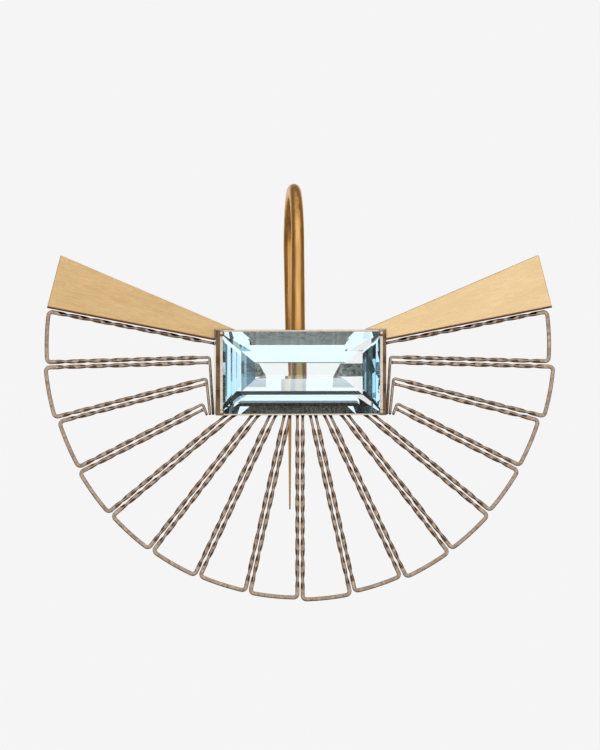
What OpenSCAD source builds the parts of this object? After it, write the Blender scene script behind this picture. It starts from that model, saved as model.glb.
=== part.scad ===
// Fan earring. A step cut stone sits in a box collet that is open at the back. Bent wire loops with
// twisted legs fan out round it, a flat wedge plate closes the fan on each side, and the ear hook is one
// tapered wire. Millimetres, +Z up, the front faces -Y. The origin is the underside of the hook's arch,
// where it hangs.

/* [Stone] */
// Length of the stone, left to right
stone_length = 12; // [10:0.5:16]
// Height of the stone, top to bottom
stone_height = 6; // [4:0.5:7]
// Height of the crown in front of the girdle
crown_rise = 0.85; // [0.5:0.05:1.2]
// Thickness of the girdle
girdle = 0.12; // [0.06:0.02:0.3]
// Depth of the pavilion behind the girdle
pavilion_depth = 2.6; // [1.8:0.1:3.4]

/* [Collet] */
// Thickness of the end walls beside the stone
end_wall = 0.25; // [0.2:0.05:0.8]
// Strip of the long walls that shows outside the stone
edge_show = 0.1; // [0.08:0.02:0.3]
// How far the walls reach in under the stone
seat = 0.28; // [0.15:0.02:0.45]
// How far the folded lip covers the stone's short ends
lip_cover = 0.24; // [0.14:0.02:0.4]
// Width of the lip's flat front face
lip_face = 0.2; // [0.1:0.02:0.3]
// How far the lip stands in front of the girdle
lip_rise = 0.42; // [0.34:0.02:0.7]
// Diameter of the corner beads
bead_d = 0.46; // [0.3:0.02:0.5]
// Room between the stone's culet and the back of the collet
culet_room = 0.15; // [0.05:0.05:0.6]

/* [Fan] */
// Number of wire loops
loop_count = 16; // [8:1:16]
// Radius of the rim, to the middle of the wire
rim_radius = 18.5; // [15:0.5:24]
// Height of the rim circle's centre above the point where the spokes meet
rim_lift = 0.86; // [0:0.02:1.5]
// Largest hand made step of a loop's rim in or out
rim_step = 0.24; // [0:0.02:0.4]
// Drop from the point where the spokes meet to the stone's centre
stone_drop = 1.1; // [0:0.02:1.5]
// How far the wires lie behind the girdle
fan_set_back = 1.1; // [0.8:0.1:1.8]
// Width of the flat wire
wire_width = 0.3; // [0.24:0.02:0.4]
// Thickness of the flat wire
wire_thickness = 0.2; // [0.14:0.02:0.24]
// Length of half a turn of the twist
half_turn = 1.58; // [1.2:0.02:3]
// Straight untwisted stretch of a leg beside the collet
plain_root = 0.9; // [0.5:0.1:2]
// Straight untwisted stretch of a leg below its corner
plain_rim = 0.3; // [0.2:0.1:1]
// Radius of a loop's corners, to the middle of the wire
corner_r = 0.28; // [0.24:0.02:0.8]
// How far the tail of a wire beside the collet leans out at its top
tail_lean = 0.25; // [0:0.05:0.4]

/* [Plates] */
// Angle of a plate's lower edge above the horizontal
plate_low = 11; // [5:0.5:20]
// Angle that a plate spans
plate_span = 12.1; // [8:0.1:16]
// How far a plate's corners stand out past the rim
plate_proud = 0.25; // [0:0.05:0.6]
// Thickness of the plates
plate_thickness = 0.9; // [0.5:0.1:1.4]

/* [Ear hook] */
// Depth of the gap for the ear, between the hook's legs
ear_gap = 7.7; // [6:0.1:11]
// Diameter of the hook's foot, behind the stone
foot_d = 1.2; // [1:0.05:1.5]
// Diameter of the hook's arch
arch_d = 0.95; // [0.7:0.05:1]
// Diameter of the rear leg at the stone's top
rear_d = 0.7; // [0.5:0.05:0.7]
// Diameter of the tail at the stone's bottom
tail_d = 0.26; // [0.2:0.02:0.4]
// Diameter of the tail's tip
tip_d = 0.12; // [0.08:0.02:0.2]
// Drop from the arch's underside to the point where the spokes meet
hub_drop = 11.8; // [9:0.1:16]
// Drop from the arch's underside to the tip of the tail
tail_drop = 23.5; // [18:0.5:28]

/* [Fit] */
// Gap that stands for the solder between two pieces
solder_gap = 0.03; // [0.01:0.01:0.05]
// Clearance round the stone
stone_gap = 0.03; // [0.01:0.01:0.05]

/* [Hidden] */
$fn = 48;

function two_digits(n) = n < 10 ? str("0", n) : str(n);
LOOPS = [for (i = [1:loop_count]) str("fan_loop_", two_digits(i))];

// Crown steps from the girdle to the table, as shares: [inset of the upper side, of the lower side and of
// both ends, each by half the stone's height, height by the crown's rise]
CROWN = [[0.27, 0.27, 0.27, 0.6], [0.47, 0.47, 0.52, 1]];
// Pavilion steps from the girdle to the narrow culet, which lies below the middle, with the same columns
// and the pavilion's depth
PAVILION = [
    [0.285, 0.285, 0.3, 0.39],
    [0.495, 0.545, 0.64, 0.66],
    [0.77, 0.84, 1.04, 0.945],
    [1.065, 0.91, 1.21, 1]
];
// Hand made step of each loop's rim from the left, as a share of the largest step, outward above zero
RIM_STEPS = [0.3, 0.9, 0, 0.5, 0.3, 0.1, -0.3, 0, 0.6, 0, 1, 0.7, 0.1, -0.3, 1, -0.6];
// Rings of points along half a turn of twisted wire, round a loop's corner and along its rim
TWIST_RINGS = 6;
CORNER_RINGS = 4;
RIM_RINGS = 6;

half_length = stone_length / 2;
half_height = stone_height / 2;
arch_radius = (ear_gap + arch_d) / 2;
arch_z = arch_d / 2 - arch_radius;

// Depths from the hook's foot forward
base_y = -arch_radius - foot_d / 2 - solder_gap;
girdle_back_y = base_y - culet_room - pavilion_depth;
girdle_front_y = girdle_back_y - girdle;
fan_y = girdle_back_y + fan_set_back;

// Heights from the hook's arch down
hub = [0, -hub_drop];
rim_centre = hub + [0, rim_lift];
stone_z = -hub_drop - stone_drop;

// Outer faces of the collet
collet_x = half_length + end_wall;
collet_z = half_height + edge_show;

pitch = (180 + 2 * plate_low) / loop_count;
tail_pitch = wire_thickness + solder_gap;
wire_reach = norm([wire_width, wire_thickness]);
leg_shift = (wire_reach + solder_gap) / 2;

function along(a) = [cos(a), sin(a)];
function across(a) = [-sin(a), cos(a)];
function slope(step, side, depth) = step[3] * depth / (step[side] * half_height);

// Stone

function stone_ring(step, depth, level) =
    let (
        x = half_length - step[2] * half_height,
        y = level + step[3] * depth,
        low = stone_z - (1 - step[1]) * half_height,
        high = stone_z + (1 - step[0]) * half_height
    )
    [[-x, y, low], [x, y, low], [x, y, high], [-x, y, high]];

module stone() {
    edge = [0, 0, 0, 0];
    rings = concat(
        [for (i = [len(CROWN) - 1:-1:0]) stone_ring(CROWN[i], -crown_rise, girdle_front_y)],
        [stone_ring(edge, 0, girdle_front_y), stone_ring(edge, 0, girdle_back_y)],
        [for (step = PAVILION) stone_ring(step, pavilion_depth, girdle_back_y)]
    );
    color("paleturquoise") tube(rings);
}

// A closed solid through rings of four points, from its first ring to its last
module tube(rings) {
    last = 4 * (len(rings) - 1);
    sides = [
        for (base = [0:4:last - 4], k = [0:3])
            let (a = base + k, b = base + (k + 1) % 4, c = b + 4, d = a + 4)
            each [[a, b, c], [a, c, d]]
    ];
    polyhedron(
        points = [for (ring = rings) each ring],
        faces = concat([[3, 2, 1, 0]], sides, [[last, last + 1, last + 2, last + 3]])
    );
}

// Setting

module end_wall() {
    cover = slope(CROWN[0], 2, crown_rise) * lip_cover;
    under = slope(PAVILION[0], 2, pavilion_depth) * seat;
    inner = half_length - lip_cover;
    translate([0, 0, stone_z - collet_z])
        linear_extrude(2 * collet_z)
            polygon([
                [collet_x, base_y],
                [collet_x, girdle_front_y],
                [inner + lip_face, girdle_front_y - lip_rise],
                [inner, girdle_front_y - lip_rise],
                [inner, girdle_front_y - cover - stone_gap],
                [half_length + stone_gap, girdle_front_y - stone_gap],
                [half_length + stone_gap, girdle_back_y + stone_gap],
                [half_length - seat, girdle_back_y + under + 2 * stone_gap],
                [half_length - seat, base_y]
            ]);
}

module long_wall() {
    under = slope(PAVILION[0], 0, pavilion_depth) * seat;
    length = 2 * (half_length + stone_gap + end_wall / 2);
    translate([-length / 2, 0, stone_z])
        rotate([90, 0, 90])
            linear_extrude(length)
                polygon([
                    [base_y, collet_z],
                    [girdle_back_y + stone_gap, collet_z],
                    [girdle_back_y + stone_gap, half_height],
                    [girdle_back_y + under + 2 * stone_gap, half_height - seat],
                    [base_y, half_height - seat]
                ]);
}

module corner_bead() {
    translate([
        half_length - lip_cover + lip_face / 2,
        girdle_front_y - lip_rise + bead_d / 8,
        stone_z + half_height - bead_d / 4
    ])
        sphere(d = bead_d);
}

module setting() {
    color("rosybrown")
        union() {
            for (side = [0, 1]) {
                mirror([side, 0, 0]) end_wall();
                translate([0, 0, side * 2 * stone_z]) mirror([0, 0, side]) long_wall();
            }
            for (side = [0, 1], end = [0, 1])
                translate([0, 0, end * 2 * stone_z]) mirror([0, 0, end]) mirror([side, 0, 0]) corner_bead();
        }
}

// Wire loops

// The fan's rays are counted from the left plate's lower edge round to the right plate's
function ray_angle(i) = 180 - plate_low + i * pitch;

// Whether a ray leaves the collet through an end wall, and not through its lower wall
function meets_end(i) =
    let (u = along(ray_angle(i)))
    (collet_z + stone_drop) * abs(u[0]) > collet_x * -u[1];

// Place of the tail on a ray through an end wall, counted down from the plate. The plate's own ray has none.
function tail_index(i) = min(i, loop_count - i) - 1;

// The line that a tail's inner face lies on, moved out, as [its foot, its direction up]
function tail_line(i, out) =
    let (
        u = along(ray_angle(i)),
        side = sign(u[0]),
        place = collet_x + solder_gap + tail_index(i) * tail_pitch,
        top = place + (tail_index(i) < 0 ? 0 : tail_lean),
        head = hub + top / abs(u[0]) * u,
        foot = [side * place, min(stone_z - collet_z, head[1] - wire_width)],
        rise = (head - foot) / norm(head - foot)
    )
    [foot + out * side * [rise[1], -rise[0]], rise];

// The line that a leg ends at. The upper wire of a pair turns down into a tail, and the lower one meets it.
function end_line(i, upper) =
    meets_end(i) ? tail_line(i, upper ? 0 : tail_pitch) : [[0, stone_z - collet_z - solder_gap], [1, 0]];

function distance_to(line, p, u) = cross(line[0] - p, line[1]) / cross(u, line[1]);

// Corners of the flat wire's section as [across its thickness, across its width], turned by the twist
function section(twist) =
    [for (c = [[-1, -1], [1, -1], [1, 1], [-1, 1]])
        let (t = c[0] * wire_thickness / 2, w = c[1] * wire_width / 2)
        [t * cos(twist) - w * sin(twist), t * sin(twist) + w * cos(twist)]];

// Four points round the wire at p, where it runs at an angle of heading and its left is the loop's inside
function wire_ring(p, heading, twist) =
    [for (c = section(twist)) let (q = p + c[0] * across(heading)) [q[0], fan_y + c[1], q[1]]];

// Four points of the wire's end, which is cut along the line that it meets
function root_ring(leg, heading, twist) =
    [for (c = section(twist))
        let (q = leg_start(leg) + c[0] * across(heading), r = distance_to(leg[2], q, leg[1]))
        [q[0] + r * leg[1][0], fan_y + c[1], q[1] + r * leg[1][1]]];

// One leg beside a ray, as [a point on it, its direction, the line that it ends at, the distance to that
// line, the distance to its corner]. The side is 1 or -1, towards the loop's inside.
function leg(i, side, radius) =
    let (
        a = ray_angle(i),
        u = along(a),
        p = hub + side * leg_shift * across(a),
        line = end_line(i, side * across(a)[1] > 0),
        b = p + side * corner_r * across(a) - rim_centre,
        reach = radius - corner_r
    )
    [p, u, line, distance_to(line, p, u), sqrt((b * u) ^ 2 - b * b + reach ^ 2) - b * u];

function leg_start(leg) = leg[0];
function leg_point(leg, distance) = leg[0] + distance * leg[1];
function twist_start(leg) = leg[3] + plain_root;
function twist_stop(leg) = leg[4] - plain_rim;
// Half turns along a leg, whose flat sides face sideways at its root and forward at its rim
function half_turns(leg) = max(1, round((twist_stop(leg) - twist_start(leg)) / half_turn - 0.5)) + 0.5;

// Rings of a leg from the collet out to its corner, where the twist ends at last_twist
function leg_rings(leg, heading, last_twist) =
    let (
        turns = half_turns(leg),
        steps = turns * TWIST_RINGS,
        first_twist = last_twist - 180 * turns,
        start = twist_start(leg),
        stop = twist_stop(leg)
    )
    concat(
        [root_ring(leg, heading, first_twist)],
        [for (i = [0:steps])
            let (share = i / steps, p = leg_point(leg, start + (stop - start) * share))
            wire_ring(p, heading, first_twist + 180 * turns * share)]
    );

// Rings along an arc of the wire's middle that turns left from one heading to another
function arc_rings(centre, radius, headings, count, twist) =
    [for (i = [0:count])
        let (heading = headings[0] + (headings[1] - headings[0]) * i / count)
        wire_ring(centre - radius * across(heading), heading, twist)];

function reversed(list) = [for (i = [len(list) - 1:-1:0]) list[i]];
function inner(list) = [for (i = [1:len(list) - 2]) list[i]];

// The tail of a pair's upper wire, down beside the collet's end wall
module tail(i, side) {
    a = ray_angle(i);
    top = hub + side * (leg_shift + wire_thickness / 2) * across(a);
    lines = [tail_line(i, 0), tail_line(i, wire_thickness)];
    heads = [for (line = lines) top + distance_to(line, top, along(a)) * along(a)];
    translate([0, fan_y + wire_width / 2, 0])
        rotate([90, 0, 0])
            linear_extrude(wire_width)
                polygon([heads[0], heads[1], lines[1][0], lines[0][0]]);
}

// The angle of v, as the turn of it that is nearest to another angle
function angle_near(v, other) = let (a = atan2(v[1], v[0])) a + 360 * round((other - a) / 360);

module fan_loop(index) {
    first_angle = ray_angle(index);
    second_angle = ray_angle(index + 1);
    radius = rim_radius + rim_step * RIM_STEPS[index % len(RIM_STEPS)];
    first = leg(index, 1, radius);
    second = leg(index + 1, -1, radius);
    first_centre = leg_point(first, first[4]) + corner_r * across(first_angle);
    second_centre = leg_point(second, second[4]) - corner_r * across(second_angle);
    rim_heading = [
        angle_near(first_centre - rim_centre, first_angle) + 90,
        angle_near(second_centre - rim_centre, second_angle) + 90
    ];
    back_heading = second_angle + 180;
    twist = 180 * half_turns(first);
    color("silver")
        union() {
            tube(concat(
                leg_rings(first, first_angle, twist),
                arc_rings(first_centre, corner_r, [first_angle, rim_heading[0]], CORNER_RINGS, twist),
                inner(arc_rings(rim_centre, radius, rim_heading, RIM_RINGS, twist)),
                arc_rings(second_centre, corner_r, [rim_heading[1], back_heading], CORNER_RINGS, twist),
                reversed(leg_rings(second, back_heading, twist))
            ));
            for (end = [[index, 1], [index + 1, -1]])
                if (meets_end(end[0]) && end[1] * across(ray_angle(end[0]))[1] > 0)
                    tail(end[0], end[1]);
        }
}

// Gold plates

module gold_plate() {
    lift = solder_gap * across(plate_low);
    corner_reach = rim_radius + plate_proud;
    corners = [for (a = [plate_low, plate_low + plate_span]) plate_corner(a, corner_reach)];
    translate([0, fan_y + plate_thickness / 2, 0])
        rotate([90, 0, 0])
            linear_extrude(plate_thickness)
                difference() {
                    polygon([hub + lift, corners[0] + lift, corners[1]]);
                    translate([0, stone_z])
                        square([2 * (collet_x + solder_gap), 2 * (collet_z + solder_gap)], center = true);
                }
}

// Where the ray at angle a is at a given distance from the rim circle's centre
function plate_corner(a, reach) =
    let (b = hub - rim_centre, u = along(a))
    hub + (sqrt((b * u) ^ 2 - b * b + reach ^ 2) - b * u) * u;

module gold_plate_right() {
    color("gold") gold_plate();
}

module gold_plate_left() {
    color("goldenrod") mirror([1, 0, 0]) gold_plate();
}

// Ear hook

module ear_hook() {
    foot_z = stone_z - half_height;
    rear = [
        [arch_z, arch_d],
        [stone_z + half_height, rear_d],
        [stone_z - half_height, tail_d],
        [tip_d / 2 - tail_drop, tip_d]
    ];
    color("gold")
        union() {
            translate([0, -arch_radius, foot_z]) cylinder(h = arch_z - foot_z, d1 = foot_d, d2 = arch_d);
            translate([0, 0, arch_z])
                rotate([0, -90, 0]) rotate([0, 0, -90])
                    rotate_extrude(angle = 180) translate([arch_radius, 0]) circle(d = arch_d);
            for (i = [1:len(rear) - 1])
                translate([0, arch_radius, rear[i][0]])
                    cylinder(h = rear[i - 1][0] - rear[i][0], d1 = rear[i][1], d2 = rear[i - 1][1]);
            translate([0, arch_radius, rear[3][0]]) sphere(d = tip_d);
        }
}

stone();
setting();
gold_plate_left();
gold_plate_right();
ear_hook();
for (i = [0:loop_count - 1])
    fan_loop(i);
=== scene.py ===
import math

import bmesh
import bpy
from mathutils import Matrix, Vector


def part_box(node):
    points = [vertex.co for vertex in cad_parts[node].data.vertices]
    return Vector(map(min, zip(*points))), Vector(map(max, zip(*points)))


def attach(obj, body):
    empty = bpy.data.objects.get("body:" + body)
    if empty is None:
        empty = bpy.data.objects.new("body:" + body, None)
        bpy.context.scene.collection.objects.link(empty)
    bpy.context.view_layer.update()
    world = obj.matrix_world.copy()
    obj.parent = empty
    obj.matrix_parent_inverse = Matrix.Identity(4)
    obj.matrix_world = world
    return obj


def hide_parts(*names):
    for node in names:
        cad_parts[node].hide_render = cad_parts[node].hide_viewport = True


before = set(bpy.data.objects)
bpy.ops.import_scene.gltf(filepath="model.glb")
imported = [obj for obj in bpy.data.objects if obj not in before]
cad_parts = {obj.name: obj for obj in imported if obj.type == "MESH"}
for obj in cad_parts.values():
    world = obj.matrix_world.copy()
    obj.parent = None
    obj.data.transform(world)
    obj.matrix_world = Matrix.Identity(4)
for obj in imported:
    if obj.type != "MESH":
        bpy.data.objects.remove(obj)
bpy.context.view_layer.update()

# The earring's lengths are in millimetres here, and turn into metres where a mesh is made. It hangs in
# the XZ plane, +Z is up and its front faces -Y. Points in that plane are written (x, z), and turns are in
# degrees.
MM = 0.001


def box_mm(node):
    """A CAD node's lowest and highest corners, in millimetres."""
    low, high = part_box(node)
    return low / MM, high / MM


# Stone and collet, from the frame
stone_low, stone_high = box_mm("stone")
collet_low, collet_high = box_mm("setting")
half_length = stone_high.x
half_height = (stone_high.z - stone_low.z) / 2
stone_z = (stone_high.z + stone_low.z) / 2
collet_x = collet_high.x
collet_z = (collet_high.z - collet_low.z) / 2
base_y = collet_high.y

# The CAD model's driving sizes that the pieces below share. First the stone's
girdle = 0.12
crown_rise = 0.85
pavilion_depth = 2.6

# The collet's and its beads'
seat = 0.28
lip_cover = 0.24
lip_face = 0.2
lip_rise = 0.42
bead_d = 0.46

# The gap between the stone and metal, and the one that stands for solder
stone_gap = 0.03
solder_gap = 0.03

# The fan's, its rim's and its wires'
loop_count = 16
hub_drop = 11.8
fan_set_back = 1.1
rim_radius = 18.5
rim_lift = 0.86
rim_step = 0.24
wire_width = 0.3
wire_thickness = 0.2
half_turn = 1.58
plain_root = 0.9
plain_rim = 0.3
corner_r = 0.28
tail_lean = 0.25

# The plates', from the turn of their lower edge on
plate_low = 11
plate_span = 12.1
plate_proud = 0.25
plate_thickness = 0.9

# The ear hook's
foot_d = 1.2
arch_d = 0.95
rear_d = 0.7
tail_d = 0.26
tip_d = 0.12
ear_gap = 7.7

# Each loop's own step of the rim, out or in, in parts of rim_step
RIM_STEPS = [0.3, 0.9, 0, 0.5, 0.3, 0.1, -0.3, 0, 0.6, 0, 1, 0.7, 0.1, -0.3, 1, -0.6]

hub = Vector((0, -hub_drop))
rim_centre = hub + Vector((0, rim_lift))
girdle_front_y = stone_low.y + crown_rise
girdle_back_y = girdle_front_y + girdle
fan_y = girdle_back_y + fan_set_back
pitch = (180 + 2 * plate_low) / loop_count
tail_pitch = wire_thickness + solder_gap
leg_shift = (math.hypot(wire_width, wire_thickness) + solder_gap) / 2


# Plane geometry

def along(angle):
    return Vector((math.cos(math.radians(angle)), math.sin(math.radians(angle))))


def across(angle):
    return Vector((-math.sin(math.radians(angle)), math.cos(math.radians(angle))))


def angle_of(direction):
    return math.degrees(math.atan2(direction.y, direction.x))


def turn_between(first, second):
    """The turn from one heading to another, between -180 and 180 degrees."""
    return (second - first + 180) % 360 - 180


def reach_on_circle(start, direction, radius):
    """How far along a ray from start the circle of that radius round the rim's centre lies."""
    offset = start - rim_centre
    middle = offset.dot(direction)
    return math.sqrt(middle * middle - offset.dot(offset) + radius * radius) - middle


def distance_to(line, point, direction):
    """How far from a point, in a direction, a line lies that is given as (point, direction)."""
    return (line[0] - point).cross(line[1]) / direction.cross(line[1])


# Meshes

EDGE_SEGMENTS = 2
# Faces with a smaller turn between them are joined before edges are rounded
FLAT_TURN = 1


def add_object(name, mesh, material, replaced):
    """Links a mesh as a piece that rides on the root body and stands for CAD nodes."""
    piece = bpy.data.objects.new(name, mesh)
    bpy.context.scene.collection.objects.link(piece)
    mesh.materials.append(material)
    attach(piece, "root")
    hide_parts(*replaced)


def mesh_from(name, verts, faces, smooth=True):
    """A mesh in metres from vertices in millimetres, with its faces turned outward."""
    mesh = bpy.data.meshes.new(name)
    mesh.from_pydata([[c * MM for c in v] for v in verts], [], faces)
    made = bmesh.new()
    made.from_mesh(mesh)
    bmesh.ops.recalc_face_normals(made, faces=made.faces)
    made.to_mesh(mesh)
    made.free()
    mesh.polygons.foreach_set("use_smooth", [smooth] * len(mesh.polygons))
    return mesh


def side_faces(count, first, second):
    """Quads between two rings of so many vertices, each given by its first vertex."""
    pairs = [(k, (k + 1) % count) for k in range(count)]
    return [(first + k, first + after, second + after, second + k) for k, after in pairs]


def tube_faces(ring_count, side_count):
    """Faces of a capped tube through rings of points."""
    faces = []
    for i in range(ring_count - 1):
        faces += side_faces(side_count, i * side_count, (i + 1) * side_count)
    last = (ring_count - 1) * side_count
    faces.append(tuple(range(side_count))[::-1])
    faces.append(tuple(range(last, last + side_count)))
    return faces


def prism(outline, start, length):
    """A prism of an outline's points (a, b), from start along the third axis, as vertices and faces."""
    count = len(outline)
    verts = [(*point, start) for point in outline] + [(*point, start + length) for point in outline]
    faces = [tuple(range(count)), tuple(range(count, 2 * count))[::-1]]
    return verts, faces + side_faces(count, 0, count)


def round_edges(mesh, width, sharper_than=0.0):
    """Rounds a mesh's edges, or only those sharper than a turn."""
    made = bmesh.new()
    made.from_mesh(mesh)
    flat = math.radians(FLAT_TURN)
    bmesh.ops.dissolve_limit(made, angle_limit=flat, verts=made.verts, edges=made.edges)
    sharp = [
        edge for edge in made.edges
        if len(edge.link_faces) == 2 and edge.calc_face_angle() > math.radians(sharper_than)
    ]
    bmesh.ops.bevel(
        made,
        geom=sharp,
        offset=width * MM,
        segments=EDGE_SEGMENTS,
        profile=0.5,
        affect="EDGES",
        clamp_overlap=True,
    )
    made.to_mesh(mesh)
    made.free()


# Wire loops

TWIST_RINGS = 22
BEND_RINGS = 8
RIM_RINGS = 16
SECTION_ROUND = 0.06
SECTION_ARC_POINTS = 4
TAIL_BEND_R = 0.16
# Where a wire is soldered on it swells: (distance from its end, size of its section)
SOLDER = [(0, 1.45), (0.04, 1.32), (0.1, 1.12), (0.2, 1)]
# The tail's end is rounded off by hand
TAIL_END = [(0, 0.35), (0.02, 0.7), (0.07, 0.95), (0.15, 1)]


def wire_section():
    """The flat wire's rounded section, as (across its thickness, across its width)."""
    points = []
    for quarter in range(4):
        middle = Vector((
            (wire_thickness / 2 - SECTION_ROUND) * (1 if quarter in (0, 3) else -1),
            (wire_width / 2 - SECTION_ROUND) * (1 if quarter in (0, 1) else -1),
        ))
        for k in range(SECTION_ARC_POINTS):
            angle = 90 * (quarter + k / (SECTION_ARC_POINTS - 1))
            points.append(middle + SECTION_ROUND * along(angle))
    return points


SECTION = wire_section()


def offsets(twist, size):
    """The section's points turned by the twist, as (along the loop's plane, along Y)."""
    cos, sin = along(twist)
    return [(size * (t * cos - w * sin), size * (t * sin + w * cos)) for t, w in SECTION]


def ring(point, heading, twist, size=1.0):
    """Points round the wire, which runs at a heading and has the loop's inside on its left."""
    normal = across(heading)
    return [
        (point.x + offset * normal.x, fan_y + depth, point.y + offset * normal.y)
        for offset, depth in offsets(twist, size)
    ]


def arc_rings(centre, radius, headings, count, twist):
    """Rings along an arc that turns left from one heading to another."""
    rings = []
    for i in range(count + 1):
        heading = headings[0] + (headings[1] - headings[0]) * i / count
        rings.append(ring(centre - radius * across(heading), heading, twist))
    return rings


def ray_angle(index):
    """The fan's rays are counted from the left plate's lower edge round to the right plate's."""
    return 180 - plate_low + index * pitch


def meets_end(index):
    """Whether a ray leaves the collet through an end wall, and not through its lower wall."""
    ray = along(ray_angle(index))
    return (collet_z + hub.y - stone_z) * abs(ray.x) > collet_x * -ray.y


def tail_line(index, out):
    """The line of a tail's inner face, moved out, as its foot and its direction up."""
    ray = along(ray_angle(index))
    side = math.copysign(1, ray.x)
    place_index = min(index, loop_count - index) - 1
    place = collet_x + solder_gap + place_index * tail_pitch
    head = hub + (place + (tail_lean if place_index >= 0 else 0)) / abs(ray.x) * ray
    foot = Vector((side * place, min(stone_z - collet_z, head.y - wire_width)))
    rise = (head - foot).normalized()
    return foot + out * side * Vector((rise.y, -rise.x)), rise


class Leg:
    """One leg of a loop, beside a ray. The side is 1 or -1, towards the loop's inside.

    At the collet's ends the leg above a ray bends down into a tail, and the leg below it ends on that tail.
    """

    def __init__(self, index, side, radius):
        self.side = side
        self.angle = ray_angle(index)
        self.direction = along(self.angle)
        self.start = hub + side * leg_shift * across(self.angle)
        at_end = meets_end(index)
        self.has_tail = at_end and side * across(self.angle).y > 0
        if at_end:
            self.line = tail_line(index, wire_thickness / 2 if self.has_tail else tail_pitch)
        else:
            self.line = (Vector((0, stone_z - collet_z - solder_gap)), Vector((1, 0)))
        self.root = distance_to(self.line, self.start, self.direction)
        inner_start = self.start + side * corner_r * across(self.angle)
        self.corner = reach_on_circle(inner_start, self.direction, radius - corner_r)
        # The CAD leg with a tail ends at the tail's inner face, half a wire further in
        inner_line = tail_line(index, 0) if self.has_tail else self.line
        self.twist_start = distance_to(inner_line, self.start, self.direction) + plain_root
        self.twist_stop = self.corner - plain_rim
        self.half_turns = max(1, round((self.twist_stop - self.twist_start) / half_turn - 0.5)) + 0.5

    def point(self, distance):
        return self.start + distance * self.direction

    def corner_centre(self):
        """The middle of the bend from the leg into the rim."""
        return self.point(self.corner) + self.side * corner_r * across(self.angle)

    def cut_ring(self, heading, twist, size):
        """A ring at the root, cut along the line that the leg meets."""
        points = []
        for offset, depth in offsets(twist, size):
            point = self.start + offset * across(heading)
            point = point + distance_to(self.line, point, self.direction) * self.direction
            points.append((point.x, fan_y + depth, point.y))
        return points

    def rings(self, heading, last_twist):
        """Rings from the root, or from the foot of the tail, out to the corner."""
        first_twist = last_twist - 180 * self.half_turns
        if self.has_tail:
            rings = self.tail_rings(first_twist)
        else:
            rings = [self.cut_ring(heading, first_twist, SOLDER[0][1])]
            for distance, size in SOLDER[1:]:
                rings.append(ring(self.point(self.root + distance), heading, first_twist, size))
        count = round(self.half_turns * TWIST_RINGS)
        for i in range(count + 1):
            distance = self.twist_start + (self.twist_stop - self.twist_start) * i / count
            twist = first_twist + 180 * self.half_turns * i / count
            rings.append(ring(self.point(distance), heading, twist))
        return rings

    def tail_rings(self, twist):
        """Rings up the tail and round its bend, as far as the leg's straight part."""
        foot, rise = self.line
        rise_angle = angle_of(rise)
        turn = turn_between(rise_angle, self.angle)
        turn_side = math.copysign(1, turn)
        back = TAIL_BEND_R * math.tan(math.radians(abs(turn) / 2))
        vertex = self.point(self.root)
        centre = vertex - back * rise + turn_side * TAIL_BEND_R * across(rise_angle)
        # A second leg's rings run with the heading turned round
        flip = 0 if self.side > 0 else 180
        rings = [ring(foot + d * rise, rise_angle + flip, twist, size) for d, size in TAIL_END]
        for i in range(BEND_RINGS + 1):
            heading = rise_angle + turn * i / BEND_RINGS
            point = centre - turn_side * TAIL_BEND_R * across(heading)
            rings.append(ring(point, heading + flip, twist))
        return rings


def make_loop(index, material):
    """A bent flat wire with two twisted legs and a plain rim."""
    radius = rim_radius + rim_step * RIM_STEPS[index]
    first = Leg(index, 1, radius)
    second = Leg(index + 1, -1, radius)
    rim_headings = []
    for leg in (first, second):
        outward = angle_of(leg.corner_centre() - rim_centre)
        rim_headings.append(leg.angle + turn_between(leg.angle, outward) + 90)
    back_heading = second.angle + 180
    twist = 180 * first.half_turns
    first_bend = (first.angle, rim_headings[0])
    second_bend = (rim_headings[1], back_heading)
    rings = first.rings(first.angle, twist)
    rings += arc_rings(first.corner_centre(), corner_r, first_bend, BEND_RINGS, twist)
    rings += arc_rings(rim_centre, radius, rim_headings, RIM_RINGS, twist)[1:-1]
    rings += arc_rings(second.corner_centre(), corner_r, second_bend, BEND_RINGS, twist)
    rings += second.rings(back_heading, twist)[::-1]
    name = f"wire_loop_{index + 1:02d}"
    verts = [point for points in rings for point in points]
    mesh = mesh_from(name, verts, tube_faces(len(rings), len(SECTION)))
    add_object(name, mesh, material, [f"fan_loop_{index + 1:02d}"])


# Stone

# The places of a step's values: how far inward its far edge lies from the upper side, the lower side and
# the ends, in parts of half the stone's height, and its rise in parts of the crown's or pavilion's depth
UPPER, LOWER, ENDS, RISE = range(4)
# The steps from the girdle on. The pavilion's ends are a little steeper than the CAD's, so that the hook
# isn't seen through them.
CROWN = [(0.27, 0.27, 0.27, 0.6), (0.47, 0.47, 0.52, 1)]
PAVILION = [
    (0.285, 0.285, 0.267, 0.39),
    (0.495, 0.545, 0.573, 0.66),
    (0.77, 0.84, 0.907, 0.945),
    (1.065, 0.91, 1.1, 1),
]


def step_slope(step, side, depth):
    """How fast the stone's step beside the girdle rises over its inset from one side."""
    return step[RISE] * depth / (step[side] * half_height)


def stone_ring(step, depth, level):
    """The corners round the stone at the far edge of a step."""
    x = half_length - step[ENDS] * half_height
    y = level + step[RISE] * depth
    low = stone_z - (1 - step[LOWER]) * half_height
    high = stone_z + (1 - step[UPPER]) * half_height
    return [(-x, y, low), (x, y, low), (x, y, high), (-x, y, high)]


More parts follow.
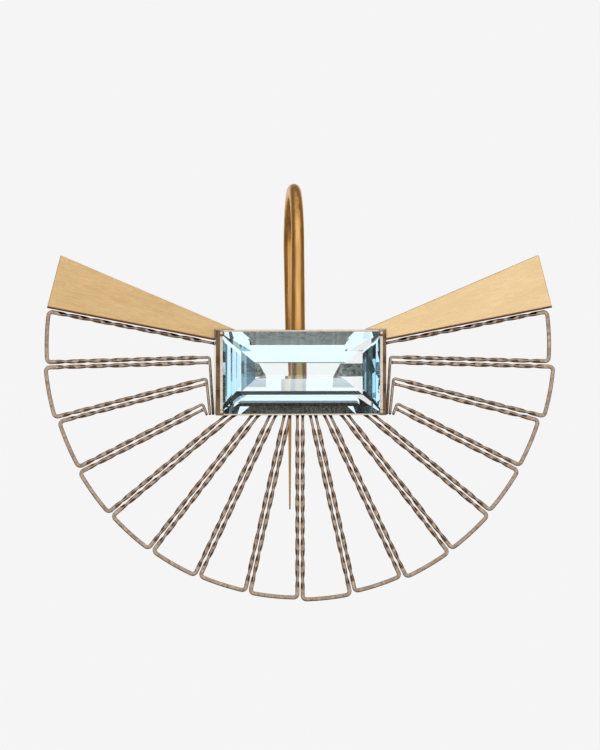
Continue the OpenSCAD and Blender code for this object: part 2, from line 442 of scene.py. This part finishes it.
def make_stone(material):
    """The step cut stone, from its table back to its narrow culet."""
    no_step = (0, 0, 0, 0)
    rings = [stone_ring(step, -crown_rise, girdle_front_y) for step in reversed(CROWN)]
    rings += [stone_ring(no_step, 0, level) for level in (girdle_front_y, girdle_back_y)]
    rings += [stone_ring(step, pavilion_depth, girdle_back_y) for step in PAVILION]
    verts = [point for corners in rings for point in corners]
    mesh = mesh_from("step_cut_stone", verts, tube_faces(len(rings), 4), smooth=False)
    add_object("step_cut_stone", mesh, material, ["stone"])


# Collet

COLLET_EDGE = 0.035
# Edges with a smaller turn aren't rounded
SHARP_TURN = 20
BEAD_MERIDIANS = 28
BEAD_RINGS = 18
# Tabs at the open back: how far from the middle their lower and upper edges end, and those edges' heights
TAB_ENDS = (2.45, 3.0)
TAB_HEIGHTS = (-0.33, 0.63)
TAB_THICKNESS = 0.12


def solid(name, verts, faces):
    """A mesh object for a union, not a piece yet."""
    thing = bpy.data.objects.new(name, mesh_from(name, verts, faces, smooth=False))
    bpy.context.scene.collection.objects.link(thing)
    return thing


def end_wall(side):
    """The wall beside one of the stone's short ends, whose front edge is folded over the stone."""
    cover = step_slope(CROWN[0], ENDS, crown_rise) * lip_cover
    under = step_slope(PAVILION[0], ENDS, pavilion_depth) * seat
    inner = half_length - lip_cover
    outline = [
        (collet_x, base_y),
        (collet_x, girdle_front_y),
        (inner + lip_face, girdle_front_y - lip_rise),
        (inner, girdle_front_y - lip_rise),
        (inner, girdle_front_y - cover - stone_gap),
        (half_length + stone_gap, girdle_front_y - stone_gap),
        (half_length + stone_gap, girdle_back_y + stone_gap),
        (half_length - seat, girdle_back_y + under + 2 * stone_gap),
        (half_length - seat, base_y),
    ]
    verts, faces = prism(outline, stone_z - collet_z, 2 * collet_z)
    return solid("end_wall", [(side * x, y, z) for x, y, z in verts], faces)


def long_wall(side):
    """The wall along one of the stone's long sides, whose front edge the stone rests on."""
    under = step_slope(PAVILION[0], UPPER, pavilion_depth) * seat
    outline = [
        (base_y, collet_z),
        (girdle_back_y + stone_gap, collet_z),
        (girdle_back_y + stone_gap, half_height),
        (girdle_back_y + under + 2 * stone_gap, half_height - seat),
        (base_y, half_height - seat),
    ]
    reach = (half_length + collet_x) / 2
    verts, faces = prism(outline, -reach, 2 * reach)
    return solid("long_wall", [(x, y, stone_z + side * z) for y, z, x in verts], faces)


def back_tab(side):
    """A tab that reaches in from an end wall at the collet's open back; its front carries the painted shade
    of the collet's inside and is seen dark through the stone.
    """
    low, high = (stone_z + height for height in TAB_HEIGHTS)
    outline = [
        (half_length, low),
        (TAB_ENDS[0], low),
        (TAB_ENDS[1], high),
        (half_length, high),
    ]
    verts, faces = prism(outline, base_y - TAB_THICKNESS, TAB_THICKNESS)
    return solid("back_tab", [(side * x, y, z) for x, z, y in verts], faces)


def corner_bead(side, end):
    """A bead of metal pushed over a corner of the stone."""
    made = bmesh.new()
    bmesh.ops.create_uvsphere(
        made, u_segments=BEAD_MERIDIANS, v_segments=BEAD_RINGS, radius=bead_d / 2,
    )
    centre = Vector((
        side * (half_length - lip_cover + lip_face / 2),
        girdle_front_y - lip_rise + bead_d / 8,
        stone_z + end * (half_height - bead_d / 4),
    ))
    verts = [tuple(v.co + centre) for v in made.verts]
    faces = [[v.index for v in face.verts] for face in made.faces]
    made.free()
    return solid("bead", verts, faces)


def join_solids(solids):
    """The union of closed solids, left in the first one."""
    kept = solids[0]
    for other in solids[1:]:
        union = kept.modifiers.new("union", "BOOLEAN")
        union.operation = "UNION"
        union.solver = "EXACT"
        union.object = other
        seen = kept.evaluated_get(bpy.context.evaluated_depsgraph_get())
        mesh = bpy.data.meshes.new_from_object(seen)
        kept.modifiers.clear()
        kept.data = mesh
        bpy.data.objects.remove(other)
    return kept


def shows_skin_and_shade(polygon):
    """Whether a face of the collet lies on its inside, on a long wall or on a tab's front."""
    spot = polygon.center / MM
    within_length = abs(spot.x) < half_length + 2 * stone_gap
    within_height = abs(spot.z - stone_z) < half_height + 2 * stone_gap
    faces_front = polygon.normal.y < -0.5
    faces_up_or_down = abs(polygon.normal.z) > 0.3
    on_tab = faces_front and spot.y > base_y - 2 * TAB_THICKNESS
    on_long_wall = faces_up_or_down and girdle_front_y < spot.y < base_y - 2 * COLLET_EDGE
    return within_length and within_height and (on_tab or on_long_wall)


def make_collet(material, skin_and_shade):
    """The box collet round the stone, open at the back, with rounded edges and a bead at each corner."""
    parts = [make(side) for side in (1, -1) for make in (end_wall, long_wall)]
    parts += [back_tab(side) for side in (1, -1)]
    walls = join_solids(parts)
    round_edges(walls.data, COLLET_EDGE, SHARP_TURN)
    beads = [corner_bead(side, end) for side in (1, -1) for end in (1, -1)]
    collet = join_solids([walls] + beads)
    mesh = collet.data
    bpy.data.objects.remove(collet)
    mesh.name = "collet"
    mesh.materials.clear()
    add_object("collet", mesh, material, ["setting"])
    mesh.materials.append(skin_and_shade)
    # The inside faces and the tabs' fronts take the as-cast material with its painted shade
    for polygon in mesh.polygons:
        if shows_skin_and_shade(polygon):
            polygon.material_index = 1


# Gold plates

PLATE_EDGE = 0.045


def plate_outline():
    """The right plate's outline, notched round the collet's corner."""
    lift = solder_gap * across(plate_low)
    low, high = along(plate_low), along(plate_low + plate_span)
    reach = rim_radius + plate_proud
    side = collet_x + solder_gap
    top = stone_z + collet_z + solder_gap
    root = hub + lift
    return [
        hub + high * ((top - hub.y) / high.y),
        Vector((side, top)),
        root + low * ((side - root.x) / low.x),
        root + low * reach_on_circle(hub, low, reach),
        hub + high * reach_on_circle(hub, high, reach),
    ]


def make_plate(name, sign, material, replaced):
    """A flat wedge with slightly rounded edges, the right one for a sign of 1 and the left one for -1."""
    outline = [(sign * point.x, point.y) for point in plate_outline()]
    verts, faces = prism(outline, fan_y - plate_thickness / 2, plate_thickness)
    mesh = mesh_from(name, [(x, y, z) for x, z, y in verts], faces, smooth=False)
    round_edges(mesh, PLATE_EDGE)
    add_object(name, mesh, material, [replaced])


# Ear hook

HOOK_SIDES = 40
HOOK_RINGS = 24
ARCH_RINGS = 48
TIP_RINGS = 6
# The tip's last ring, in parts of its radius
TIP_END = 0.05
# The rounded edge of the hook's foot: (height above its end, how much narrower than the foot)
FOOT_ROUND = [(0, 0.08), (0.02, 0.03), (0.08, 0)]


def hook_stations():
    """Stations ((y, z), heading, radius) along the hook's middle, from foot to tip."""
    bend = (ear_gap + arch_d) / 2
    arch_z = arch_d / 2 - bend
    top_z = stone_z + half_height
    foot_z = stone_z - half_height
    tip_z = box_mm("ear_hook")[0].z + tip_d / 2
    stations = [((-bend, foot_z + lift), 90, foot_d / 2 - cut) for lift, cut in FOOT_ROUND]
    for i in range(1, HOOK_RINGS + 1):
        share = i / HOOK_RINGS
        size = (foot_d + (arch_d - foot_d) * share) / 2
        stations.append(((-bend, foot_z + (arch_z - foot_z) * share), 90, size))
    for i in range(1, ARCH_RINGS):
        angle = 180 - 180 * i / ARCH_RINGS
        spot = Vector((0, arch_z)) + bend * along(angle)
        stations.append((tuple(spot), angle - 90, arch_d / 2))
    rear = [(arch_z, arch_d), (top_z, rear_d), (foot_z, tail_d), (tip_z, tip_d)]
    for (top, wide), (bottom, narrow) in zip(rear, rear[1:]):
        for i in range(HOOK_RINGS):
            share = i / HOOK_RINGS
            size = (wide + (narrow - wide) * share) / 2
            stations.append(((bend, top + (bottom - top) * share), -90, size))
    for i in range(TIP_RINGS + 1):
        angle = math.radians(90 * i / TIP_RINGS)
        size = tip_d / 2 * max(math.cos(angle), TIP_END)
        stations.append(((bend, tip_z - tip_d / 2 * math.sin(angle)), -90, size))
    return stations


def make_hook(material):
    """One tapered round wire: front leg, arch, rear leg and thin tail."""
    verts = []
    stations = hook_stations()
    for (y, z), heading, radius in stations:
        normal = across(heading)
        for k in range(HOOK_SIDES):
            side = along(360 * k / HOOK_SIDES)
            depth = radius * side.y
            verts.append((radius * side.x, y + depth * normal.x, z + depth * normal.y))
    mesh = mesh_from("hook", verts, tube_faces(len(stations), HOOK_SIDES))
    # The two caps stay flat
    for polygon in mesh.polygons:
        polygon.use_smooth = len(polygon.vertices) == 4
    add_object("hook", mesh, material, ["ear_hook"])


# Materials

GOLD, GOLD_DEEP = (0.72, 0.45, 0.17), (0.54, 0.28, 0.08)
# The two plates are one gold: the right one is painted lighter as painted light, the left one darker as
# painted shade
PLATE_RIGHT_LIT_LIGHT, PLATE_RIGHT_LIT_DARK = (0.92, 0.70, 0.41), (0.76, 0.54, 0.29)
PLATE_LEFT_SHADED_LIGHT, PLATE_LEFT_SHADED_DARK = (0.76, 0.54, 0.28), (0.58, 0.39, 0.18)
WIRE_LIGHT, WIRE_DARK = (0.46, 0.36, 0.28), (0.19, 0.13, 0.09)
COLLET_LIGHT, COLLET_DARK = (0.66, 0.58, 0.49), (0.5, 0.41, 0.32)
# The collet's inside, left as cast and speckled, its dark specks painted near black as painted shade inside
# the box
SKIN_LIGHT, SKIN_SHADE_DARK = (0.62, 0.58, 0.5), (0.04, 0.04, 0.04)
# Painted shadow with solder staining, for the plates' lower edge where the wire lies beneath
SHADOW_AND_STAIN_GOLD = (0.14, 0.05, 0.015)
# Painted shade with solder staining, for the wires' roots where the collet and stone overhang them
SHADE_AND_STAIN_WIRE = (0.07, 0.04, 0.025)
# The stone's colour by absorption and its strength for each metre, and how it bends light
AQUA = (0.40, 0.77, 0.92, 1)
AQUA_DENSITY = 80.0
AQUA_IOR = 1.58
# How wide the plates' painted shadow and solder staining along the lower edge is, and how far the wires'
# painted shade and solder staining reaches from the collet
PLATE_SHADOW_AND_STAIN = 0.2
WIRE_SHADE_AND_STAIN = 0.45


def new_material(name, **constants):
    """A Principled material whose constants are set on the shader's own sockets."""
    material = bpy.data.materials.new(name)
    material.use_nodes = True
    shader = material.node_tree.nodes["Principled BSDF"]
    for socket, value in constants.items():
        shader.inputs[socket.replace("_", " ")].default_value = value
    return material


def add_node(tree, kind, inputs=None, **settings):
    """Adds a node, sets it up and links or sets its inputs."""
    node = tree.nodes.new(kind)
    for key, value in settings.items():
        setattr(node, key, value)
    for key, value in (inputs or {}).items():
        if isinstance(value, bpy.types.NodeSocket):
            tree.links.new(value, node.inputs[key])
        else:
            node.inputs[key].default_value = value
    return node


def math_node(tree, operation, first, second=0.0, third=0.0):
    inputs = {0: first, 1: second, 2: third}
    return add_node(tree, "ShaderNodeMath", inputs, operation=operation).outputs[0]


def split(tree, vector):
    """A vector's three coordinates."""
    return add_node(tree, "ShaderNodeSeparateXYZ", {0: vector}).outputs


def map_range(tree, value, start, stop, low, high, **settings):
    """A value that goes from low to high while another one goes from start to stop."""
    node = add_node(tree, "ShaderNodeMapRange", {
        "Value": value,
        "From Min": start,
        "From Max": stop,
        "To Min": low,
        "To Max": high,
    }, **settings)
    return node.outputs["Result"]


def eased(tree, value, start, stop, low=0.0, high=1.0):
    """The same with a smooth start and stop."""
    return map_range(tree, value, start, stop, low, high, interpolation_type="SMOOTHSTEP")


def spread(material, value, low, high, start=0.3, stop=0.7):
    """A noise value spread between two numbers."""
    return map_range(material.node_tree, value, start, stop, low, high)


def stretched_place(material, scale=(1, 1, 1), rotation=(0, 0, 0)):
    """The place on the object, turned and then scaled, so that 1 is a millimetre at a scale of 1."""
    tree = material.node_tree
    place = add_node(tree, "ShaderNodeTexCoord").outputs["Object"]
    turned = add_node(tree, "ShaderNodeMapping", {"Vector": place, "Rotation": rotation})
    mapped = add_node(tree, "ShaderNodeMapping", {
        "Vector": turned.outputs["Vector"],
        "Scale": [s / MM for s in scale],
    })
    return mapped.outputs["Vector"]


def noise(material, vector, scale=1.0, detail=3.0, roughness=0.5):
    node = add_node(material.node_tree, "ShaderNodeTexNoise", {
        "Vector": vector,
        "Scale": scale,
        "Detail": detail,
        "Roughness": roughness,
    })
    return node.outputs["Fac"]


def mix_colours(tree, factor, first, second):
    """A colour between two others, each a constant or another node's output."""
    inputs = {"Factor": factor}
    for socket, colour in ((6, first), (7, second)):
        inputs[socket] = colour if isinstance(colour, bpy.types.NodeSocket) else (*colour, 1)
    return add_node(tree, "ShaderNodeMix", inputs, data_type="RGBA").outputs[2]


def mix_values(tree, factor, first, second):
    """A number between two others."""
    return add_node(tree, "ShaderNodeMix", {"Factor": factor, 2: first, 3: second}).outputs[0]


def connect(material, value, socket):
    shader = material.node_tree.nodes["Principled BSDF"]
    material.node_tree.links.new(value, shader.inputs[socket])


def add_bump(material, height, strength, distance):
    bump = add_node(material.node_tree, "ShaderNodeBump", {
        "Height": height,
        "Strength": strength,
        "Distance": distance * MM,
    })
    connect(material, bump.outputs["Normal"], "Normal")


def brushed_gold(name, light, dark, sign):
    """Yellow gold brushed in fine strokes along the plate, darker along its lower edge: solder staining and
    painted shadow of the wire beneath.
    """
    material = new_material(name, Metallic=1.0)
    tree = material.node_tree
    turn = (0, sign * math.radians(plate_low + plate_span / 2), 0)
    strokes = noise(material, stretched_place(material, (1.2, 8, 8), turn), detail=4, roughness=0.65)
    scratches = noise(material, stretched_place(material, (2.0, 24, 24), turn), detail=3, roughness=0.6)
    broad = noise(material, stretched_place(material, (0.25, 0.9, 0.9), turn), detail=2)
    fine = math_node(tree, "MULTIPLY", scratches, 0.45)
    grain = math_node(tree, "MULTIPLY_ADD", strokes, 0.55, fine)
    shade = math_node(tree, "MULTIPLY_ADD", broad, 0.2, math_node(tree, "MULTIPLY", grain, 0.8))
    brushed = mix_colours(tree, spread(material, shade, 0, 1, start=0.38, stop=0.62), dark, light)
    # A dark band along the lower edge: painted shadow where the wire lies beneath, with solder staining
    level = stretched_place(material, rotation=(0, sign * math.radians(plate_low), 0))
    edge = hub.dot(across(plate_low)) + solder_gap
    shadow_and_stain = eased(tree, split(tree, level)[2], edge + PLATE_SHADOW_AND_STAIN, edge + PLATE_SHADOW_AND_STAIN / 2)
    connect(material, mix_colours(tree, shadow_and_stain, brushed, SHADOW_AND_STAIN_GOLD), "Base Color")
    connect(material, spread(material, grain, 0.38, 0.52), "Roughness")
    add_bump(material, grain, strength=0.5, distance=0.02)
    return material


def polished_gold():
    """Drawn yellow gold wire, polished, with faint marks along it."""
    material = new_material("polished_gold", Metallic=1.0)
    drawn = noise(material, stretched_place(material, (3, 3, 0.3)), scale=1.5, detail=4)
    colour = mix_colours(material.node_tree, spread(material, drawn, 0, 1), GOLD_DEEP, GOLD)
    connect(material, colour, "Base Color")
    connect(material, spread(material, drawn, 0.26, 0.38), "Roughness")
    add_bump(material, drawn, strength=0.15, distance=0.01)
    return material


def white_gold(name, light, dark, shade_and_stain=0.0):
    """White gold with dull marks of hammering and pickling, and for the wires darker near the collet:
    solder staining and painted shade where the collet and stone overhang them.
    """
    material = new_material(name, Metallic=1.0)
    tree = material.node_tree
    marks = noise(material, stretched_place(material), scale=4.0, detail=5, roughness=0.6)
    colour = mix_colours(tree, spread(material, marks, 0, 1), dark, light)
    # Darker near the collet: painted shade under the overhanging collet and stone, with solder staining
    if shade_and_stain:
        x, _, z = split(tree, stretched_place(material))
        height = math_node(tree, "ABSOLUTE", math_node(tree, "SUBTRACT", z, stone_z))
        above = math_node(tree, "SUBTRACT", height, collet_z)
        beside = math_node(tree, "SUBTRACT", math_node(tree, "ABSOLUTE", x), collet_x)
        away = math_node(tree, "MAXIMUM", beside, above)
        uneven = math_node(tree, "MULTIPLY_ADD", marks, shade_and_stain, -shade_and_stain / 2)
        near = eased(tree, math_node(tree, "ADD", away, uneven), shade_and_stain, shade_and_stain / 4)
        colour = mix_colours(tree, near, colour, SHADE_AND_STAIN_WIRE)
    connect(material, colour, "Base Color")
    connect(material, spread(material, marks, 0.14, 0.26), "Roughness")
    add_bump(material, marks, strength=0.12, distance=0.01)
    return material


def cast_skin_and_shade():
    """The inside of the collet, left as it was cast: dull and speckled, its dark specks painted near black
    as painted shade inside the box.
    """
    material = new_material("cast_skin_and_shade", Metallic=1.0)
    specks = noise(material, stretched_place(material), scale=6.0, detail=4, roughness=0.7)
    share = spread(material, specks, 0, 1, start=0.42, stop=0.6)
    connect(material, mix_colours(material.node_tree, share, SKIN_SHADE_DARK, SKIN_LIGHT), "Base Color")
    connect(material, spread(material, specks, 0.3, 0.6), "Roughness")
    add_bump(material, specks, strength=0.6, distance=0.03)
    return material


def aqua_stone():
    """Clear pale aqua stone, coloured by its depth."""
    material = new_material(
        "aqua_stone",
        Base_Color=(1, 1, 1, 1),
        Roughness=0.0,
        IOR=AQUA_IOR,
        Specular_IOR_Level=0.15,
        Transmission_Weight=1.0,
    )
    absorption = add_node(material.node_tree, "ShaderNodeVolumeAbsorption", {
        "Color": AQUA,
        "Density": AQUA_DENSITY,
    })
    output = material.node_tree.nodes["Material Output"]
    material.node_tree.links.new(absorption.outputs["Volume"], output.inputs["Volume"])
    return material


# Stage, light and camera

# The brightness of the plain ground and of what the camera sees beyond it
PALE = 0.913
# The floor's half side and its height, in metres
FLOOR_REACH = 4.0
FLOOR_Z = -0.12


def plain_floor():
    """A wide matt floor below the earring."""
    corners = [(-1, -1), (1, -1), (1, 1), (-1, 1)]
    mesh = bpy.data.meshes.new("floor")
    mesh.from_pydata([(FLOOR_REACH * x, FLOOR_REACH * y, 0) for x, y in corners], [], [(0, 1, 2, 3)])
    floor = bpy.data.objects.new("floor", mesh)
    floor.location.z = FLOOR_Z
    bpy.context.scene.collection.objects.link(floor)
    matt = new_material("floor", Base_Color=(PALE, PALE, PALE, 1), Roughness=1.0, Specular_IOR_Level=0.0)
    mesh.materials.append(matt)
    floor.visible_glossy = False
    floor.visible_transmission = False


# The studio is a brightness for each direction. Its places are the direction's coordinates, from -1 to 1,
# and a pair of them is where a band starts and stops to change.
# In front of the earring: (height, brightness). The dark band is the gap between light tent and table.
STUDIO_FRONT = [
    (-1.0, 0.4),
    (-0.8, 0.35),
    (-0.6, 0.02),
    (-0.31, 0.01),
    (-0.29, 1.2),
    (0.4, 1.35),
    (1.0, 1.6),
]
# Dark cards stand at both sides of the front, and leave this share of its light
FRONT_SIDES = (0.62, 0.8)
SIDES_LEFT = 0.12
# Metal sees the front fade to this share of its light towards the back
METAL_FRONT = (-0.95, 0.2)
METAL_FRONT_LEFT = 0.2
# Where the front ends and the back begins
BACK_EDGE = (-0.3, -0.05)
# A lit strip behind the earring: its sides, its foot, its top for metal, its brightness and its tint
STRIP_SIDES = (0.75, 0.6)
STRIP_FOOT = (-0.5, -0.35)
METAL_STRIP_TOP = (0.45, 0.25)
BACK_BRIGHT = 1.06
BACK_TINT = (1.0, 0.95, 0.92)
# A lit top that only metal sees: its edge and its brightness
TOP_EDGE = (0.8, 0.93)
METAL_TOP = 0.75
# The dark parts: their brightness, their colour, and the brightness at which none of that colour is left
STONE_DARK = 0.01
METAL_DARK = 0.3
METAL_SHADE = (1.0, 0.70, 0.46)
STONE_SHADE = (0.45, 0.8, 1.0)
SHADE_STOP = 0.9


def ramp_of(tree, value, stops):
    """A ramp of brightness over a value from -1 to 1."""
    gain = max(level for _, level in stops)
    share = math_node(tree, "MULTIPLY_ADD", value, 0.5, 0.5)
    ramp = add_node(tree, "ShaderNodeValToRGB", {"Fac": share})
    elements = ramp.color_ramp.elements
    while len(elements) < len(stops):
        elements.new(0.5)
    for element, (place, level) in zip(elements, stops):
        element.position = (place + 1) / 2
        element.color = (level / gain, level / gain, level / gain, 1)
    return math_node(tree, "MULTIPLY", ramp.outputs["Color"], gain)


def studio_world():
    """An even pale studio for the camera and matt surfaces, and a light tent with dark cards for the rest.

    Metal sees the tent by reflection. Through the stone, more of it is lit and its dark parts are darker.
    """
    world = bpy.data.worlds.new("studio")
    world.use_nodes = True
    bpy.context.scene.world = world
    tree = world.node_tree
    paths = add_node(tree, "ShaderNodeLightPath").outputs
    x, y, z = split(tree, add_node(tree, "ShaderNodeTexCoord").outputs["Generated"])
    aside = math_node(tree, "ABSOLUTE", x)
    sides = eased(tree, aside, *FRONT_SIDES, 1.0, SIDES_LEFT)
    front = math_node(tree, "MULTIPLY", ramp_of(tree, z, STUDIO_FRONT), sides)
    strip = math_node(tree, "MULTIPLY", eased(tree, aside, *STRIP_SIDES), eased(tree, z, *STRIP_FOOT))
    behind = eased(tree, y, *BACK_EDGE)

    def tent_level(front_share, back_share, dark):
        seen_front = math_node(tree, "MAXIMUM", math_node(tree, "MULTIPLY", front, front_share), dark)
        seen_strip = math_node(tree, "MULTIPLY", strip, back_share)
        seen_back = math_node(tree, "MULTIPLY_ADD", seen_strip, BACK_BRIGHT - dark, dark)
        return mix_values(tree, behind, seen_front, seen_back)

    metal_front = eased(tree, y, *METAL_FRONT, 1.0, METAL_FRONT_LEFT)
    metal_level = tent_level(metal_front, eased(tree, z, *METAL_STRIP_TOP), METAL_DARK)
    metal_level = math_node(tree, "MAXIMUM", metal_level, eased(tree, z, *TOP_EDGE, 0.0, METAL_TOP))
    stone_level = tent_level(1.0, 1.0, STONE_DARK)
    in_stone = paths["Is Transmission Ray"]
    level = mix_values(tree, in_stone, metal_level, stone_level)
    shade = mix_colours(tree, in_stone, METAL_SHADE, STONE_SHADE)
    lit = mix_colours(tree, behind, (1, 1, 1), BACK_TINT)
    tint = mix_colours(tree, eased(tree, level, 0.0, SHADE_STOP), shade, lit)
    seen = add_node(tree, "ShaderNodeBackground", {"Color": tint, "Strength": level})
    even = tree.nodes["Background"]
    even.inputs["Color"].default_value = (1, 1, 1, 1)
    even_level = math_node(tree, "MULTIPLY_ADD", paths["Is Camera Ray"], PALE - 1, 1.0)
    tree.links.new(even_level, even.inputs["Strength"])
    plain = math_node(tree, "MAXIMUM", paths["Is Camera Ray"], paths["Is Diffuse Ray"])
    mix = add_node(tree, "ShaderNodeMixShader", {0: plain, 1: seen.outputs[0], 2: even.outputs[0]})
    tree.links.new(mix.outputs[0], tree.nodes["World Output"].inputs["Surface"])
    # The kinds of ray above are only told apart where the world isn't sampled as a light
    world.cycles.sampling_method = "NONE"


# The camera's place round the earring, and in metres its distance and the height of what it frames
CAMERA_AZIMUTH = -4
CAMERA_ELEVATION = 1.5
CAMERA_DISTANCE = 0.45
FRAME_HEIGHT = 0.055
# How far below the fan's hub the camera aims, and its sensor's width
AIM_DROP = 1.3
SENSOR = 36


def add_camera():
    """The camera at the photograph's viewing angle."""
    azimuth, elevation = math.radians(CAMERA_AZIMUTH), math.radians(CAMERA_ELEVATION)
    back = Vector((
        math.sin(azimuth) * math.cos(elevation),
        -math.cos(azimuth) * math.cos(elevation),
        math.sin(elevation),
    ))
    data = bpy.data.cameras.new("camera")
    camera = bpy.data.objects.new("camera", data)
    bpy.context.scene.collection.objects.link(camera)
    camera.location = Vector((0, fan_y, hub.y - AIM_DROP)) * MM + back * CAMERA_DISTANCE
    camera.rotation_mode = "QUATERNION"
    camera.rotation_quaternion = (-back).to_track_quat("-Z", "Y")
    data.sensor_width = SENSOR
    data.lens = SENSOR * CAMERA_DISTANCE / FRAME_HEIGHT
    data.clip_start = 0.01
    data.clip_end = 20
    bpy.context.scene.camera = camera


add_camera()
plain_floor()
studio_world()
bpy.context.scene.view_settings.view_transform = "Standard"
light_paths = bpy.context.scene.cycles
light_paths.max_bounces = 24
light_paths.glossy_bounces = 16
light_paths.transmission_bounces = 24

wire = white_gold("white_gold_wire", WIRE_LIGHT, WIRE_DARK, WIRE_SHADE_AND_STAIN)
for index in range(loop_count):
    make_loop(index, wire)
# One gold for both plates, painted lighter on the right and darker on the left as painted light and shade
right_lit_gold = brushed_gold("brushed_gold_right", PLATE_RIGHT_LIT_LIGHT, PLATE_RIGHT_LIT_DARK, 1)
left_shaded_gold = brushed_gold("brushed_gold_left", PLATE_LEFT_SHADED_LIGHT, PLATE_LEFT_SHADED_DARK, -1)
make_plate("plate_right", 1, right_lit_gold, "gold_plate_right")
make_plate("plate_left", -1, left_shaded_gold, "gold_plate_left")
make_hook(polished_gold())
make_collet(white_gold("white_gold_setting", COLLET_LIGHT, COLLET_DARK), cast_skin_and_shade())
make_stone(aqua_stone())
